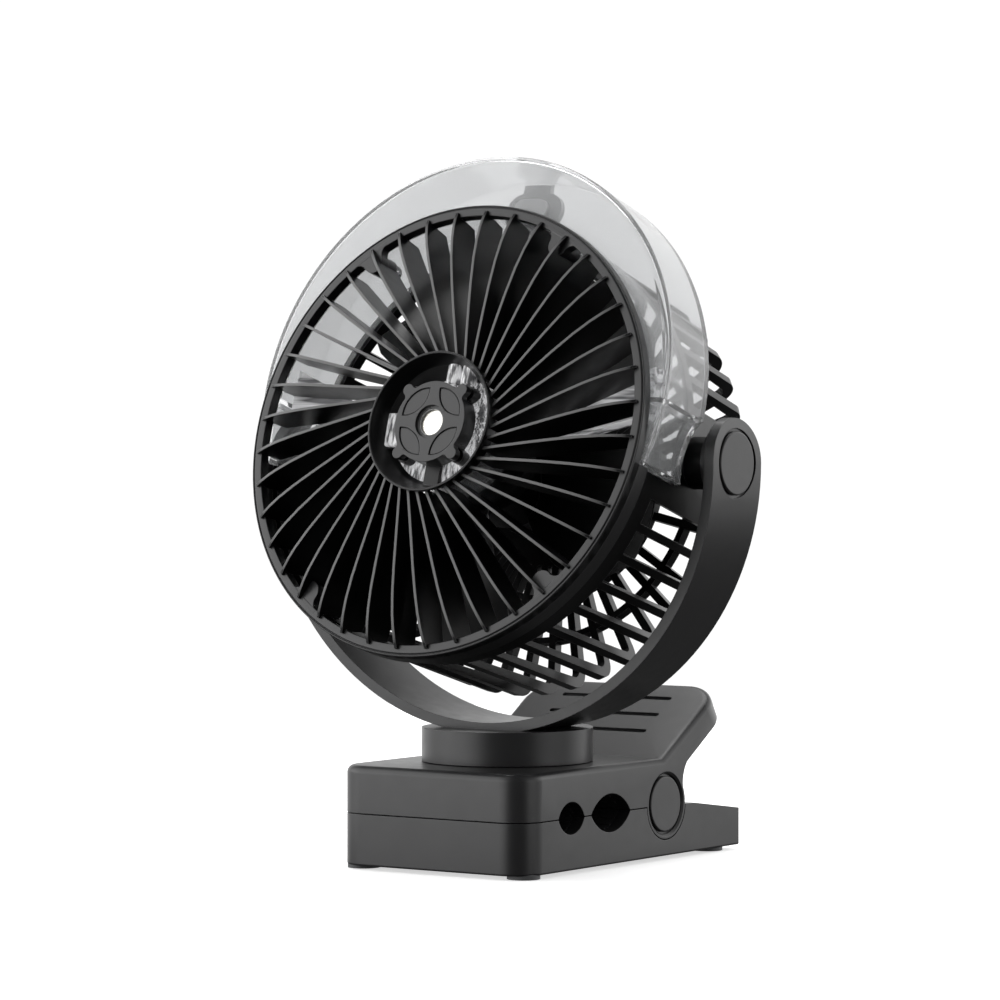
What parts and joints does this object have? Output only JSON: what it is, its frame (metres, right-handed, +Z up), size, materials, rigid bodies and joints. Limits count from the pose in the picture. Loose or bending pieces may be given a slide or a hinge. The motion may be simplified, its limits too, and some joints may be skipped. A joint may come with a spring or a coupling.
{
  "type": "clip-on misting fan",
  "caption": "Small clip-on fan with a swirl grille, a central mist nozzle and a clear water tank, tilting in a round yoke that swivels on a hinged, spring-closed clip base.",
  "frame": {"origin": "on the swivel axis, in the plane under the four feet", "axes": "+Z up, -Y where the fan blows when the yoke faces forward, +X to the right as seen from the front-left of the clip's jaws; the tilt axis and the clip's hinge run along X"},
  "size_m": [0.2082, 0.171, 0.2725],
  "materials": {
    "black_shell": "satin, finely grained moulding",
    "black_inner": "matte moulding",
    "black_button": "satin",
    "grip_rubber": "matte, ribbed",
    "grey_rubber": "matte, slightly see-through edges",
    "seal_rubber": "matte",
    "clear_tank": "polished, clear with a grey tint",
    "steel": "plated",
    "motor_steel": "drawn can",
    "bearing_brass": "turned",
    "disc_metal": "plated disc",
    "wick_fibre": "pressed fibre",
    "board_green": "solder mask",
    "battery_pack": "shrink wrap over cells",
    "light_lens": "diffusing lens"
  },
  "bodies": {
    "lower_clip": {"lower_jaw": "black_shell", "bottom_cover": "black_shell", "bottom_screws": "steel", "feet": "grey_rubber", "battery": "battery_pack", "charge_board": "board_green", "usb_port": "steel", "lower_pad": "grip_rubber", "hinge_pin": "steel", "torsion_springs": "steel"},
    "upper_clip": {"upper_jaw": "black_shell", "upper_cover": "black_inner", "upper_pad": "grip_rubber", "hinge_caps": "black_shell"},
    "turret": {"swivel_washer": "steel", "swivel_screws": "steel", "neck": "black_shell", "yoke": "black_shell", "yoke_screws": "steel", "pivot_caps": "black_shell"},
    "head": {"friction_washers": "steel", "pivot_screws": "steel", "rear_housing": "black_inner", "front_grille": "black_shell", "grille_screws": "steel", "water_tank": "clear_tank", "disc_seal": "seal_rubber", "atomiser_disc": "disc_metal", "wick": "wick_fibre", "motor_can": "motor_steel", "motor_bearings": "bearing_brass", "motor_screws": "steel", "control_board": "board_green", "rear_cover": "black_shell", "cover_screws": "steel", "status_light": "light_lens"},
    "fan": {"impeller": "black_inner", "motor_shaft": "steel"},
    "mist_cap": {"nozzle_cap": "black_shell"},
    "plug": {"filler_plug": "grey_rubber"},
    "fan_switch": {"fan_button": "black_button"},
    "mist_switch": {"mist_button": "black_button"}
  },
  "joints": [
    {"name": "clamp", "type": "hinge", "parent": "lower_clip", "child": "upper_clip", "pos_m": [0, 0.0452, 0.0217], "axis": [-1, 0, 0], "range_deg": [0, 30], "stiffness_Nm_per_rad": 1.2, "springref_deg": -51.57},
    {"name": "swivel", "type": "hinge", "parent": "upper_clip", "child": "turret", "pos_m": [0, 0, 0.045], "axis": [0, 0, 1], "range_deg": [-180, 180]},
    {"name": "head_tilt", "type": "hinge", "parent": "turret", "child": "head", "pos_m": [0, 0, 0.1552], "axis": [1, 0, 0], "range_deg": [-73, 30]},
    {"name": "fan_spin", "type": "hinge", "parent": "head", "child": "fan", "pos_m": [0, 0, 0.1552], "axis": [0, -0.9568, 0.2907], "continuous": true},
    {"name": "mist_cap_twist", "type": "hinge", "parent": "head", "child": "mist_cap", "pos_m": [0, -0.04784, 0.16974], "axis": [0, -0.9568, 0.2907], "range_deg": [0, 30]},
    {"name": "plug_pull", "type": "slide", "parent": "head", "child": "plug", "axis": [0, 0.9568, -0.2907], "range_m": [0, 0.008]},
    {"name": "fan_press", "type": "slide", "parent": "head", "child": "fan_switch", "axis": [0, -0.9568, 0.2907], "range_m": [0, 0.0012], "stiffness_N_per_m": 1500, "springref_m": -0.0004},
    {"name": "mist_press", "type": "slide", "parent": "head", "child": "mist_switch", "axis": [0, -0.9568, 0.2907], "range_m": [0, 0.0012], "stiffness_N_per_m": 1500, "springref_m": -0.0004}
  ]
}
